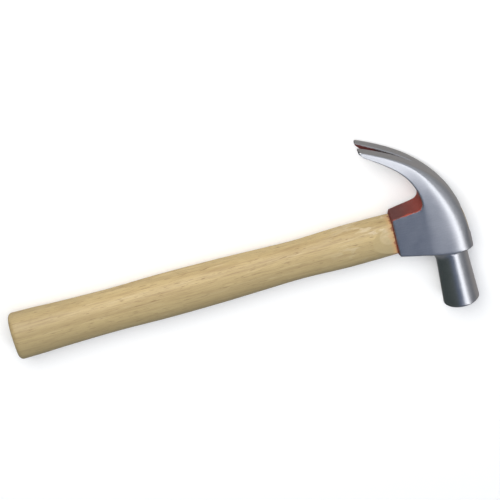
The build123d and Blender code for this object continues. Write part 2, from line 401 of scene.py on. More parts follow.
# %% [markdown]
# ## Collar and eye
#
# The collar narrows from the crotch to its mouth, where a chamfer runs round it. Behind the mouth the
# skin turns in and becomes the eye, an oval hole that is tightest at its waist and flares at the crown,
# so that a wedged handle can't come out either way.

# %% Sizes of the collar and the eye
WAIST, WAIST_GRIP = -12.0, -0.4  # where the eye is tightest, and its growth there
MOUTH_CHAMFER = 1.1
EYE_HEIGHT, EYE_WIDTH, EYE_CORNER = 12.2, 6.2, 5.2  # half sizes at the mouth
BELLY, BELLY_DEPTH = -15.0, 19.6  # where the collar's underside turns down, and how low it is there
ROOT_HALF, MOUTH_WIDE = CHEEK - 0.35, 8.9  # half width of the collar at its root and its mouth


def collar_line(x):
    """Top, bottom and half width of the collar at a distance along the handle."""
    share = (x - CROTCH_X) / (MOUTH - CROTCH_X)
    top = MOUTH_HALF + (x - MOUTH) * rise
    fall = (BELLY_DEPTH - MOUTH_HALF) * (x - MOUTH) / (BELLY - MOUTH)
    bottom = -MOUTH_HALF - fall if x < BELLY else -BELLY_DEPTH - 0.8 * (x - BELLY) / 2.6
    return top, bottom, ROOT_HALF + (MOUTH_WIDE - ROOT_HALF) * share


def collar_ring(x, inset=0.0, top=None):
    """Places round the collar, in the order of its root loop."""
    high, low, half = collar_line(x)
    high = high if top is None else top
    points = []
    for y_share, z_share in root_shares:
        y = low + inset + (high - low - 2 * inset) * y_share
        points.append(place(x, y, (half - inset) * z_share))
    return points


def onto_corner(y, z, high, wide, corner):
    """Moves a point of a rectangle's edge onto its rounded corner."""
    over = Vector((abs(y) - (high - corner), abs(z) - (wide - corner)))
    if over.x > 0 and over.y > 0:
        over = over.normalized() * corner
        y = math.copysign(high - corner + over.x, y)
        z = math.copysign(wide - corner + over.y, z)
    return y, z


def eye_ring(shares, x, grow_by):
    """Places round the eye at a distance along the handle, its half sizes grown."""
    high, wide = EYE_HEIGHT + grow_by, EYE_WIDTH + grow_by
    points = []
    for y_share, z_share in shares:
        y, z = onto_corner((2 * y_share - 1) * high, z_share * wide, high, wide, EYE_CORNER + grow_by / 2)
        points.append(place(x(y, z) if callable(x) else x, y, z))
    return points


# how far along the block's height and width each vertex of a loop sits
root_y = [CHIN] + BODY_Y + [18.0]
y_shares = [(y - root_y[0]) / (root_y[-1] - root_y[0]) for y in root_y]
root_shares = round_block(y_shares, [1.0, 0.55, 0.13, -0.13, -0.55, -1.0])
mouth_shares = round_block([k / 8 for k in range(9)], [1.0, 0.6, 0.2, -0.2, -0.6, -1.0])
print("collar loop shares", len(root_shares))

# %% Grow the collar
loop = collar_root
collar_loops = [loop]
collar_steps = [(-15.5, bend.y - 5.21), (-18.9, bend.y - 6.21)]  # these two follow the crotch's arc
collar_steps += [(x, None) for x in (-27.0, -33.0, MOUTH + MOUTH_CHAMFER)]
for x, top in collar_steps:
    loop = grow(bm, loop, collar_ring(x, top=top))
    collar_loops.append(loop)
mouth_edge = loop
mouth_rim = grow(bm, mouth_edge, collar_ring(MOUTH, inset=MOUTH_CHAMFER))
eye_mouth = grow(bm, mouth_rim, eye_ring(mouth_shares, MOUTH, 0.0))
eye_low = grow(bm, eye_mouth, eye_ring(mouth_shares, MOUTH + 2.0, -0.05))
print("collar grown to", round(min(v.co.x for v in mouth_rim), 4))

# %% Grow the eye down from the crown
def crown_height(y, z):
    """How far the crown stands along the handle above a point of its section."""
    low, high = 0.0, 1.0
    for _ in range(30):
        middle = (low + high) / 2
        low, high = (middle, high) if cubic(outer, middle).y < y else (low, middle)
    peak = cubic(outer, low).x if y > crown_start.y else CROWN
    half, corner, deep, _ = shape_at(low)
    over = min(1.0, max(0.0, abs(z) - (half - corner)) / corner)
    return peak - deep * (1 - math.sqrt(1 - over**2))


EYE_FLARE, LIP = 0.5, 1.5  # growth of the eye at the crown, and depth of its lip there
top_shares = round_block([k / 6 for k in range(7)], [-1.0, -0.7, -0.42, -0.15, 0.15, 0.42, 0.7, 1.0])
for vert, point in zip(eye_top, eye_ring(top_shares, crown_height, EYE_FLARE)):
    vert.co = point
lip_ring = eye_ring(top_shares, lambda y, z: crown_height(y, z) - LIP, EYE_FLARE - 0.06)
eye_lip = grow(bm, eye_top, lip_ring)
eye_waist = grow(bm, eye_lip, eye_ring(top_shares, WAIST, WAIST_GRIP))
print("eye open at the crown,", len(eye_top), "points round")

# %% Join the eye's two ends
bmesh.ops.bridge_loops(bm, edges=ring_edges(eye_waist) + ring_edges(eye_low))
print("head skin closed:", all(len(e.link_faces) == 2 for e in bm.edges), len(bm.faces), "faces")

# %% Creases where the head keeps its edges
FIRM, TIGHT = 0.5, 0.62
CROTCH_ROW = COLLAR_ROWS[-1]
for k in (8, 13):
    crease(bm, path_edges([ring[k] for ring in rings[CROTCH_ROW:]]), FIRM)
for k in (TOP_R, TOP_L, IN_R, IN_L):
    crease(bm, path_edges([ring[k] for ring in rings[SLOT_ROW:]]), FIRM)
crease(bm, path_edges([rings[SLOT_ROW][TOP_L], rings[SLOT_ROW][TOP_R]]), FIRM)
for side, inside in zip(SIDES_OF_SLOT, ([8, 9, 10], [11, 12, 13])):
    crease(bm, ring_edges([rings[-1][k] for k in side]), FIRM)
    crease(bm, path_edges([rings[HEEL_ROW][k] for k in inside]), FIRM)
corner_places = [0, 5, 13, 18]  # the collar's four long edges, as places in its loops
for one, two in zip(collar_loops, collar_loops[1:]):
    for k in corner_places:
        crease(bm, path_edges([one[k], two[k]]), FIRM)
crease(bm, ring_edges(mouth_edge) + ring_edges(mouth_rim), FIRM)
crease(bm, ring_edges(eye_top) + ring_edges(eye_mouth), TIGHT)
ledge_places = list(range(13, 22)) + list(range(0, 9))
crease(bm, path_edges([rings[0][k] for k in ledge_places]), FIRM)
crease(bm, path_edges([neck[k] for k in list(range(15, 22)) + list(range(0, 7))]), FIRM)
crease(bm, ring_edges(face_edge) + ring_edges(face_rim), FIRM)
print("creased")

# %% Where paint is left
paint = bm.verts.layers.float["paint"]
for loop in [collar_root] + collar_loops:
    for k in range(14, 18):
        loop[k][paint] = 1.0
    loop[13][paint] = loop[18][paint] = 0.7
for row in rings[CROTCH_ROW:]:
    for k in (9, 10, 11, 12):
        row[k][paint] = 1.0
    row[8][paint] = row[13][paint] = 0.5
for row in rings[SLOT_ROW:]:
    row[TOP_R][paint] = row[TOP_L][paint] = 0.44
for vert in mouth_rim + eye_mouth + eye_low:
    vert[paint] = 1.0
for vert in mouth_edge:
    vert[paint] = max(vert[paint], 0.4)
print(sum(v[paint] > 0.9 for v in bm.verts), "vertices under paint")

# %% The head
head = finish_mesh("forged_head", bm)
smooth = head.modifiers.new("smooth", "SUBSURF")
smooth.levels = smooth.render_levels = 3
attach(head, "root")
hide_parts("head")
print("head is", [round(v * 1000, 1) for v in head.dimensions])

# %% [markdown]
# ## The handle
#
# The handle is one skin from the butt to the end of the tenon. Each ring is a full oval of 48 points:
# nine along each broad side, fifteen round each edge. Just behind the head both sides are cut flat, so
# there the oval is clipped. The outermost of the nine lie where the clip meets the oval, which gives
# the cut a clean border.

# %% Rounded, clipped rings
FLAT, ROUND = 9, 15
OVAL = 2.5  # 2 would be an ellipse, more is fuller
RING = 2 * (FLAT + ROUND)
# share of the length behind the shoulder, half height, half width
STATIONS = [
    (0.00, 14.6, 11.2),
    (0.06, 14.9, 11.3),
    (0.13, 15.0, 11.3),
    (0.25, 13.8, 11.0),
    (0.35, 14.5, 11.4),
    (0.46, 15.4, 11.9),
    (0.60, 15.8, 12.2),
    (0.74, 15.2, 12.0),
    (0.87, 15.9, 12.4),
    (0.94, 16.7, 12.7),
    (1.00, 17.0, 12.8),
]
OVERALL = 330  # crown to butt
HANDLE_LENGTH = OVERALL - CROWN + MOUTH
CUT_HALF, CUT_SLOPE = 8.3, 0.187  # half width of the flat cuts at the shoulder, and how it grows


def station(share):
    """Half height and half width, smoothly between the stations."""
    k = max(i for i in range(len(STATIONS) - 1) if STATIONS[i][0] <= share or i == 0)
    low, high = STATIONS[k], STATIONS[k + 1]
    before, after = STATIONS[max(k - 1, 0)], STATIONS[min(k + 2, len(STATIONS) - 1)]
    run = high[0] - low[0]
    t = (share - low[0]) / run
    values = []
    for i in (1, 2):
        slope_low = (high[i] - before[i]) / (high[0] - before[0])
        slope_high = (after[i] - low[i]) / (after[0] - low[0])
        hermite = (2 * t**3 - 3 * t**2 + 1) * low[i] + (3 * t**2 - 2 * t**3) * high[i]
        hermite += run * ((t**3 - 2 * t**2 + t) * slope_low + (t**3 - t**2) * slope_high)
        values.append(hermite)
    return values


def oval_ring(x, high, wide, clip=None):
    """Places of a full oval across the handle, its sides clipped flat."""
    top = wide if clip is None else min(wide, clip)

    def side(y):
        return wide * (1 - min(1.0, abs(y) / high) ** OVAL) ** (1 / OVAL)

    reach = high * (1 - (top / wide) ** OVAL) ** (1 / OVAL)
    reach = max(reach, 0.32 * high)
    half = []
    for k in range(FLAT):
        y = reach * (1 - 2 * k / (FLAT - 1))
        half.append((y, min(top, side(y))))
    start = math.acos((reach / high) ** (OVAL / 2))
    for k in range(1, ROUND + 1):
        angle = start - 2 * start * k / (ROUND + 1)
        cos, sin = abs(math.cos(angle)), math.sin(angle)
        y = -high * cos ** (2 / OVAL)
        z = math.copysign(wide * abs(sin) ** (2 / OVAL), sin)
        half.append((y, z))
    outline = half + [(-y, -z) for y, z in half]
    return [place(x, y, z) for y, z in outline]


def round_ring(x, high, wide, corner):
    """As many places of a rounded rectangle; x may be a function of y and z."""
    corner = min(corner, wide, high)
    flat = [((high - corner) * (1 - 2 * k / (FLAT - 1)), wide) for k in range(FLAT)]
    arc = corner * math.pi / 2
    straight = 2 * (wide - corner)
    edge = []
    for k in range(1, ROUND + 1):
        walked = (2 * arc + straight) * k / (ROUND + 1)
        if arc < walked <= arc + straight:
            edge.append((-high, wide - corner - (walked - arc)))
            continue
        upper = walked <= arc
        angle = (walked if upper else 2 * arc + straight - walked) / corner
        z = wide - corner + corner * math.cos(angle)
        edge.append((-(high - corner) - corner * math.sin(angle), z if upper else -z))
    outline = flat + edge + [(-y, -z) for y, z in flat + edge]
    return [place(x(y, z) if callable(x) else x, y, z) for y, z in outline]


print("rings of", len(oval_ring(0, 12, 6)), "and", len(round_ring(0, 12, 6, 5)), "points")

# %% Grow the grip from the butt to the shoulder
BUTT_ROUND = 3.5
butt_end = MOUTH - HANDLE_LENGTH
bm = new_skin()
high, wide = station(1.0)
ring = start_ring(bm, oval_ring(butt_end, 3.6, 1.8))
bmesh.ops.contextual_create(bm, geom=ring_edges(ring))
for inset in (10.0, 7.6, 5.4):
    ring = grow(bm, ring, oval_ring(butt_end, high - inset, wide - inset))
for angle in (0, 18, 36, 54, 72, 90):
    inset = BUTT_ROUND * (1 - math.sin(math.radians(angle)))
    x = butt_end + BUTT_ROUND * (1 - math.cos(math.radians(angle)))
    ring = grow(bm, ring, oval_ring(x, high - inset, wide - inset))
run_out = MOUTH - (11.3 - CUT_HALF) / CUT_SLOPE  # where the flat cuts meet the untouched sides
reaches = [butt_end + BUTT_ROUND + 2.6 * k for k in range(1, 300)]
reaches = [x for x in reaches if x < run_out - 1.5]
reaches += [run_out - 0.1 + (MOUTH - run_out - 0.3) * k / 20 for k in range(21)]
cut_rings = []
for x in reaches:
    high, wide = station((MOUTH - x) / HANDLE_LENGTH)
    clip = CUT_HALF + CUT_SLOPE * (MOUTH - x)
    ring = grow(bm, ring, oval_ring(x, high, wide, clip))
    if clip < wide + 0.03:
        cut_rings.append(ring)
for one, two in zip(cut_rings, cut_rings[1:]):
    for k in (0, FLAT - 1, RING // 2, RING // 2 + FLAT - 1):
        path_edges([one[k], two[k]])[0].smooth = False
for first in (0, RING // 2):
    for edge in path_edges(cut_rings[0][first : first + FLAT]):
        edge.smooth = False
print("grip grown:", len(bm.faces), "faces,", len(cut_rings), "rings over the flat cuts")

# %% [markdown]
# ## Shoulder and tenon
#
# At the shoulder the section steps down to the eye. The tenon follows the eye: tight at the waist,
# spread by its wedges at the crown, where its end follows the curve of the steel a little below it.

# %% Grow the tenon
SLACK = 0.02  # the tenon is this much smaller than the eye, so that wood and steel don't share a surface
RECESS = 0.4


def eye_growth(x):
    """How much larger the eye is, all round, than at its mouth."""
    if x < WAIST:
        return WAIST_GRIP * (x - MOUTH) / (WAIST - MOUTH)
    return WAIST_GRIP + (EYE_FLARE - WAIST_GRIP) * (x - WAIST) / (CROWN - WAIST)


def tenon_ring(x, grow_by, inset=0.0):
    return round_ring(
        x, EYE_HEIGHT + grow_by - inset, EYE_WIDTH + grow_by - inset, EYE_CORNER + grow_by / 2 - inset
    )


def tenon_end(y, z):
    return crown_height(y, z) - RECESS


shoulder_edge = grow(bm, ring, oval_ring(MOUTH, 14.3, 10.9, CUT_HALF - 0.3))
ring = grow(bm, shoulder_edge, tenon_ring(MOUTH, -SLACK))
tenon_start = ring
for x in (MOUTH + 1, -33.0, -28.0, -22.0, -17.0, WAIST, -6.0, 0.0, 5.0, 9.0):
    ring = grow(bm, ring, tenon_ring(x, eye_growth(x) - SLACK))
ring = grow(bm, ring, tenon_ring(tenon_end, eye_growth(CROWN - LIP) - SLACK))
tenon_rim = ring
for inset in (0.9, 2.2, 3.6, 4.9):
    ring = grow(bm, ring, tenon_ring(tenon_end, eye_growth(CROWN - LIP) - SLACK, inset))
bmesh.ops.contextual_create(bm, geom=ring_edges(ring))
cut = bm.faces.layers.float["cut"]
HALF_RING = RING // 2
cut_points = set()
for one in cut_rings + [shoulder_edge]:
    cut_points.update(one[:FLAT] + one[HALF_RING : HALF_RING + FLAT])
for face in bm.faces:
    face[cut] = float(all(v in cut_points for v in face.verts))
for edge in ring_edges(shoulder_edge) + ring_edges(tenon_start) + ring_edges(tenon_rim):
    edge.smooth = False
handle = finish_mesh("ash_handle", bm)
print("handle is", [round(v * 1000, 1) for v in handle.dimensions])

# %% [markdown]
# ## Wedges
#
# A wooden wedge spreads the tenon across the eye's width, and two barbed steel wedges, driven askew
# over it, lock it. Each is again a skin grown ring by ring, from its thin end to the crown. Wider
# copies of them cut their own places out of the wood, so no two pieces share any space.

# %% Wedge skins
def blade_skin(profile, half_width, columns, end=None, turn=0.0, shift=0.0):
    """A closed blade: profile lists how far along and how thick, end bends the last ring."""
    bm = new_skin()
    cos_turn, sin_turn = math.cos(math.radians(turn)), math.sin(math.radians(turn))

    def blade_ring(x, thick, wide, last):
        across = [wide * (2 * k / (columns - 1) - 1) for k in range(columns)]
        outline = [(u, thick) for u in across] + [(u, -thick) for u in reversed(across)]
        points = []
        for u, v in outline:
            y, z = u * cos_turn - v * sin_turn + shift, u * sin_turn + v * cos_turn
            points.append(place(end(y, z) if last and end else x, y, z))
        return points

    widths = [half_width(x) if callable(half_width) else half_width for x, _ in profile]
    ring = start_ring(bm, blade_ring(*profile[0], widths[0], False))
    first = ring
    for i, (x, thick) in enumerate(profile[1:], 1):
        ring = grow(bm, ring, blade_ring(x, thick, widths[i], i == len(profile) - 1))
    for cap in (first, ring):
        for k in range(columns - 1):
            corners = [cap[k], cap[k + 1], cap[-2 - k], cap[-1 - k]]
            bmesh.ops.contextual_create(bm, geom=corners)
    return bm


def wedge_reach(x):
    return EYE_HEIGHT + eye_growth(min(x, CROWN - LIP)) - SLACK


def barbs(length=18.0, top=2.4, tip=0.6, count=3, step=0.25):
    """Half thicknesses of a barbed blade, from its tip to the crown."""
    pitch = length / (count + 2)

    def plain(x):
        return (top - (top - tip) * (CROWN - x) / length) / 2

    profile = [(CROWN - length, tip / 2)]
    for i in reversed(range(count)):
        edge = CROWN - (i + 1.5) * pitch
        profile += [(edge - 0.6 * pitch, plain(edge - 0.6 * pitch)), (edge, plain(edge) + step)]
        profile += [(edge + 0.05, plain(edge + 0.05))]
    return profile + [(CROWN, top / 2)]


WOOD_LENGTH = 28.0
WOOD_TIP, KERF = CROWN - WOOD_LENGTH, CROWN - 34.0
wood_profile = [(WOOD_TIP + WOOD_LENGTH * k / 6, 0.7 + 1.1 * k / 6) for k in range(7)]
wood_wedge = finish_mesh("wood_wedge_block", blade_skin(wood_profile, wedge_reach, 13, tenon_end))
STEEL_HALF, STEEL_TURN, STEEL_SHIFT = 4.5, 66.0, 6.4
lower_skin = blade_skin(barbs(), STEEL_HALF, 7, tenon_end, STEEL_TURN, -STEEL_SHIFT)
upper_skin = blade_skin(barbs(), STEEL_HALF, 7, tenon_end, STEEL_TURN, STEEL_SHIFT)
steel_lower = finish_mesh("steel_wedge_one", lower_skin)
steel_upper = finish_mesh("steel_wedge_two", upper_skin)
print("wedges made:", [len(p.data.polygons) for p in (wood_wedge, steel_lower, steel_upper)])


# %% Cut their places
def cutter(profile, half_width, columns, turn=0.0, shift=0.0):
    last_x, last_thick = profile[-1]
    before_x, before_thick = profile[0]
    slope = (last_thick - before_thick) / (last_x - before_x)
    longer = profile[:-1] + [(last_x, last_thick), (last_x + 6, last_thick + 6 * slope)]
    return finish_mesh("cutter", blade_skin(longer, half_width, columns, None, turn, shift))


def carve(piece, cutters):
    """Takes the cutters' space out of a piece and keeps the result as its mesh."""
    for tool in cutters:
        cut = piece.modifiers.new("cut", "BOOLEAN")
        cut.operation, cut.solver, cut.object = "DIFFERENCE", "EXACT", tool
    bpy.context.view_layer.update()
    carved = bpy.data.meshes.new_from_object(piece.evaluated_get(bpy.context.evaluated_depsgraph_get()))
    piece.modifiers.clear()
    piece.data = carved
    print(piece.name, "carved:", len(carved.polygons), "faces")


kerf_profile = [(KERF, 0.7), (WOOD_TIP, 0.7)] + wood_profile[1:]
wood_cutter = cutter(kerf_profile, EYE_HEIGHT + 4, 2)
lower_cutter = cutter(barbs(), STEEL_HALF, 2, STEEL_TURN, -STEEL_SHIFT)
upper_cutter = cutter(barbs(), STEEL_HALF, 2, STEEL_TURN, STEEL_SHIFT)
carve(handle, [wood_cutter, lower_cutter, upper_cutter])
carve(wood_wedge, [lower_cutter, upper_cutter])
for tool in (wood_cutter, lower_cutter, upper_cutter):
    bpy.data.meshes.remove(tool.data)

# %% Sharp edges where a cut left them
for piece, angle in ((handle, 35), (wood_wedge, 30), (steel_lower, 20), (steel_upper, 20)):
    bm = bmesh.new()
    bm.from_mesh(piece.data)
    bmesh.ops.remove_doubles(bm, verts=bm.verts[:], dist=2e-6)
    sharp = [e for e in bm.edges if len(e.link_faces) == 2 and e.calc_face_angle() > math.radians(angle)]
    for edge in sharp:
        edge.smooth = False
    open_edges = sum(len(e.link_faces) != 2 for e in bm.edges)
    bm.to_mesh(piece.data)
    bm.free()
    print(piece.name, len(sharp), "sharp edges,", open_edges, "open")
for piece, node, slot in (
    (handle, "handle", "handle_wood"),
    (wood_wedge, "wood_wedge", "wedge_wood"),
    (steel_lower, "steel_wedge_lower", "wedge_steel"),
    (steel_upper, "steel_wedge_upper", "wedge_steel"),
):
    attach(piece, "root")
    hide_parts(node)

# %% [markdown]
# ## Paint on the head
#
# The head was dipped and then ground, so paint is left only where the grinder doesn't reach: on top of
# the collar, in the crotch, under the claws, in the nail slot and round the mouth. Each vertex of the
# skin carries how deep it lies in such a place, and the material makes a ragged edge from that.

# %% Materials toolkit
FLOAT, COLOR = "NodeSocketFloat", "NodeSocketColor"


def add(tree, kind, settings=None, values=None):
    """A node with its settings and the constants on its own sockets."""
    node = tree.nodes.new(kind)
    for key, value in (settings or {}).items():
        setattr(node, key, value)
    for key, value in (values or {}).items():
        node.inputs[key].default_value = value
    return node


def new_group(name, inputs, outputs):
    """A shader node group with float or colour sockets."""
    tree = bpy.data.node_groups.new(name, "ShaderNodeTree")
    for label, kind, value in inputs:
        tree.interface.new_socket(label, in_out="INPUT", socket_type=kind).default_value = value
    for label, kind in outputs:
        tree.interface.new_socket(label, in_out="OUTPUT", socket_type=kind)
    return tree, add(tree, "NodeGroupInput"), add(tree, "NodeGroupOutput")


def wire(tree, node, links):
    """Links sources to a node's inputs, named or counted."""
    for label, source in links.items():
        tree.links.new(source, node.inputs[label])


def new_material(name):
    material = bpy.data.materials.new(name)
    material.use_nodes = True
    return material, material.node_tree, material.node_tree.nodes["Principled BSDF"]


def stretched_noise(tree, stretch, detail=3.0, roughness=0.5, distortion=0.0, offset=(0, 0, 0)):
    """Noise in object space, squeezed differently along each axis."""
    where = add(tree, "ShaderNodeTexCoord")
    mapping = add(tree, "ShaderNodeMapping", None, {"Scale": stretch, "Location": offset})
    tree.links.new(where.outputs["Object"], mapping.inputs["Vector"])
    looks = {"Scale": 1.0, "Detail": detail, "Roughness": roughness, "Distortion": distortion}
    noise = add(tree, "ShaderNodeTexNoise", None, looks)
    tree.links.new(mapping.outputs[0], noise.inputs["Vector"])
    return noise.outputs[0]


def remap(tree, source, low, high, out_low=0.0, out_high=1.0, smooth=True):
    """Maps low..high to out_low..out_high and clamps."""
    curve = {"interpolation_type": "SMOOTHSTEP" if smooth else "LINEAR"}
    ends = {"From Min": low, "From Max": high, "To Min": out_low, "To Max": out_high}
    node = add(tree, "ShaderNodeMapRange", curve, ends)
    tree.links.new(source, node.inputs["Value"])
    return node.outputs["Result"]


def math_node(tree, operation, one, two):
    """One arithmetic step; either side may be a number."""
    node = add(tree, "ShaderNodeMath", {"operation": operation})
    for socket, value in zip(node.inputs, (one, two)):
        if isinstance(value, (int, float)):
            socket.default_value = value
        else:
            tree.links.new(value, socket)
    return node.outputs[0]


def plus(tree, one, two):
    return math_node(tree, "ADD", one, two)


def times(tree, one, two):
    return math_node(tree, "MULTIPLY", one, two)


def blend(tree, amount, one, two):
    """Mixes two colours; each may be a socket or a colour."""
    node = add(tree, "ShaderNodeMix", {"data_type": "RGBA", "blend_type": "MIX"})
    for socket, value in ((node.inputs[0], amount), (node.inputs[6], one), (node.inputs[7], two)):
        if isinstance(value, (int, float)):
            socket.default_value = value
        elif isinstance(value, tuple):
            socket.default_value = (*value, 1.0)
        else:
            tree.links.new(value, socket)
    return node.outputs[2]


def overlay(tree, color, layers):
    """Blends tones over a colour, one after another; a layer is an amount and a tone."""
    for amount, tone in layers:
        color = blend(tree, amount, color, tone)
    return color


def use_group(tree, group, inputs=None):
    node = add(tree, "ShaderNodeGroup", {"node_tree": group})
    for label, value in (inputs or {}).items():
        if isinstance(value, (int, float)):
            node.inputs[label].default_value = value
        elif isinstance(value, tuple):
            node.inputs[label].default_value = (*value, 1.0)
        else:
            tree.links.new(value, node.inputs[label])
    return node


def axes(tree, space="Object"):
    where = add(tree, "ShaderNodeTexCoord")
    split = add(tree, "ShaderNodeSeparateXYZ")
    tree.links.new(where.outputs[space], split.inputs[0])
    return split.outputs


def bump(tree, height, strength, depth, shader):
    node = add(tree, "ShaderNodeBump", None, {"Strength": strength, "Distance": depth})
    tree.links.new(height, node.inputs["Height"])
    tree.links.new(node.outputs[0], shader.inputs["Normal"])


print("toolkit ready")

# %% [markdown]
# ## Ground steel
#
# The belt leaves fine parallel lines, the forging's skin shows through as faint mottling, and handling
# leaves duller patches. One group makes all three, so that the head and its wedges share it. The
# roughness swings only a little: about so low a mean, wider swings left dark pits in the render.

# %% Ground steel group
ground_steel, group_in, group_out = new_group(
    "ground steel",
    [("Tint", COLOR, (0.6, 0.61, 0.63, 1)), ("Dullness", FLOAT, 0.3)],
    [("Color", COLOR), ("Roughness", FLOAT), ("Height", FLOAT)],
)
tree = ground_steel
lines = stretched_noise(tree, (110, 1150, 1150), detail=3, roughness=0.6)
speckle = stretched_noise(tree, (900, 900, 900), detail=2)
mottle = stretched_noise(tree, (130, 90, 130), detail=4, roughness=0.6, distortion=0.4)
belt = remap(tree, lines, 0.25, 0.75, -0.05, 0.05, False)
shade = plus(tree, belt, remap(tree, mottle, 0.3, 0.7, -0.02, 0.02))
shade = plus(tree, shade, remap(tree, speckle, 0.35, 0.65, -0.015, 0.015))
tinted = add(tree, "ShaderNodeVectorMath", {"operation": "SCALE"})
wire(tree, tinted, {0: group_in.outputs["Tint"], "Scale": plus(tree, shade, 1.0)})
rough = plus(tree, group_in.outputs["Dullness"], remap(tree, mottle, 0.3, 0.7, -0.008, 0.02))
rough = plus(tree, rough, remap(tree, lines, 0.3, 0.7, -0.012, 0.012))
wire(tree, group_out, {"Color": tinted.outputs[0], "Roughness": rough, "Height": lines})
print("ground steel:", len(tree.nodes), "nodes")

# %% Old paint group
old_paint, group_in, group_out = new_group(
    "old paint",
    [("Depth", FLOAT, 0.0)],
    [("Cover", FLOAT), ("Color", COLOR), ("Roughness", FLOAT), ("Height", FLOAT)],
)
tree = old_paint
ragged = stretched_noise(tree, (420, 420, 420), detail=4, roughness=0.65)
cloud = stretched_noise(tree, (160, 160, 160), detail=3)
depth = plus(tree, group_in.outputs["Depth"], remap(tree, ragged, 0.25, 0.75, -0.09, 0.09, False))
thick = plus(tree, depth, remap(tree, cloud, 0.3, 0.7, -0.25, 0.25))
tone = blend(tree, remap(tree, thick, 0.5, 0.72), (0.34, 0.05, 0.026), (0.135, 0.036, 0.03))
tone = blend(tree, remap(tree, ragged, 0.55, 0.75, 0, 0.45), tone, (0.1, 0.034, 0.03))
wire(tree, group_out, {"Cover": remap(tree, depth, 0.52, 0.6), "Color": tone})
layer = remap(tree, depth, 0.5, 0.62)
crust = times(tree, layer, times(tree, ragged, 0.3))
thickness = plus(tree, layer, crust)
wire(tree, group_out, {"Roughness": remap(tree, cloud, 0.3, 0.7, 0.36, 0.52), "Height": thickness})
print("old paint:", len(tree.nodes), "nodes")

# %% Head material
steel_finish, tree, shader = new_material("ground steel and old paint")
metal = use_group(tree, ground_steel, {"Tint": (0.62, 0.625, 0.645), "Dullness": 0.3})
covered = add(tree, "ShaderNodeAttribute", {"attribute_name": "paint"})
coat = use_group(tree, old_paint, {"Depth": covered.outputs["Fac"]})
cover = coat.outputs["Cover"]
x, y, z = axes(tree)
fresh = remap(tree, x, origin.x - 0.033, origin.x - 0.015, 0, 0.6)
fresh = times(tree, fresh, remap(tree, y, origin.y + 0.03, origin.y + 0.024))
# painted shade: beyond the root of the nail slot the paint turns near black, in the slot and under the
# claws
slot_painted_shade = remap(tree, y, origin.y + 0.034, origin.y + 0.044, 0, 0.93)
on_rim = remap(tree, x, origin.x - 0.0352, origin.x - 0.0366, 0, 0.7)
tones = ((fresh, (0.36, 0.05, 0.03)), (slot_painted_shade, (0.022, 0.007, 0.007)), (on_rim, (0.13, 0.026, 0.02)))
paint_color = overlay(tree, coat.outputs["Color"], tones)
mixed = add(tree, "ShaderNodeMix", {"data_type": "FLOAT"})
wire(tree, mixed, {0: cover, 2: metal.outputs["Roughness"], 3: coat.outputs["Roughness"]})
color = blend(tree, cover, metal.outputs["Color"], paint_color)
bare = math_node(tree, "SUBTRACT", 1.0, cover)
wire(tree, shader, {"Base Color": color, "Metallic": bare, "Roughness": mixed.outputs[0]})
relief = plus(tree, times(tree, metal.outputs["Height"], 0.05), coat.outputs["Height"])
bump(tree, relief, 0.35, 0.00012, shader)
head.data.materials.append(steel_finish)
print("head material done")

# %% [markdown]
# ## Pale ash
#
# Ash shows long fibres, short dark pores and broad soft bands. Where the wood was cut by hand behind
# the head it is paler and a little torn, the round run-out of that cut is darkened as painted shade,
# and the last millimetres before the mouth turn orange and then dark red. The lower edge is darkened
# as painted shade, and the wood is darker towards the butt.

# %% Wood grain group
wood_grain, group_in, group_out = new_group(
    "wood grain",
    [("Pale", COLOR, (0.6, 0.48, 0.27, 1)), ("Dark", COLOR, (0.45, 0.32, 0.14, 1))],
    [("Color", COLOR), ("Height", FLOAT), ("Tear", FLOAT)],
)
tree = wood_grain
bands = stretched_noise(tree, (7, 120, 120), detail=3, distortion=0.6)
streaks = stretched_noise(tree, (32, 820, 820), detail=4, roughness=0.6)
fibres = stretched_noise(tree, (70, 2900, 2900), detail=4, roughness=0.62)
pores = stretched_noise(tree, (150, 1500, 1500), detail=2, roughness=0.4, offset=(3, 7, 1))
wood = blend(tree, remap(tree, bands, 0.32, 0.68), group_in.outputs["Dark"], group_in.outputs["Pale"])
layers = [
    (remap(tree, streaks, 0.48, 0.7, 0, 0.6), (0.33, 0.22, 0.1)),
    (remap(tree, streaks, 0.42, 0.25, 0, 0.35), (0.74, 0.63, 0.42)),
    (remap(tree, fibres, 0.5, 0.66, 0, 0.5), (0.3, 0.2, 0.09)),
    (remap(tree, pores, 0.62, 0.72, 0, 0.65), (0.22, 0.13, 0.05)),
]
height = math_node(tree, "SUBTRACT", plus(tree, streaks, fibres), remap(tree, pores, 0.64, 0.72))
torn = stretched_noise(tree, (70, 240, 240), detail=5, roughness=0.6, distortion=0.5)
wire(tree, group_out, {"Color": overlay(tree, wood, layers), "Height": height, "Tear": torn})
print("wood grain:", len(tree.nodes), "nodes")

# %% Handle material
ash, tree, shader = new_material("pale ash")
grain = use_group(tree, wood_grain, {"Pale": (0.56, 0.425, 0.205), "Dark": (0.45, 0.33, 0.155)})
x, y, z = axes(tree)
shoulder_x = origin.x + MOUTH * MM
near_head = remap(tree, x, shoulder_x - 0.062, shoulder_x - 0.008)
tear = times(tree, remap(tree, grain.outputs["Tear"], 0.52, 0.6), near_head)
cut_face = add(tree, "ShaderNodeAttribute", {"attribute_name": "cut"}).outputs["Fac"]
where = add(tree, "ShaderNodeTexCoord")
centre = place(MOUTH, 3.5, 0)  # of the round run-out of the cut, darkened there as painted shade
tight_x, tight_y = 70, 100
shift = (-centre.x * tight_x, -centre.y * tight_y, 0)
scoop = add(tree, "ShaderNodeMapping", None, {"Scale": (tight_x, tight_y, 0), "Location": shift})
tree.links.new(where.outputs["Object"], scoop.inputs["Vector"])
reach = add(tree, "ShaderNodeVectorMath", {"operation": "LENGTH"})
tree.links.new(scoop.outputs[0], reach.inputs[0])
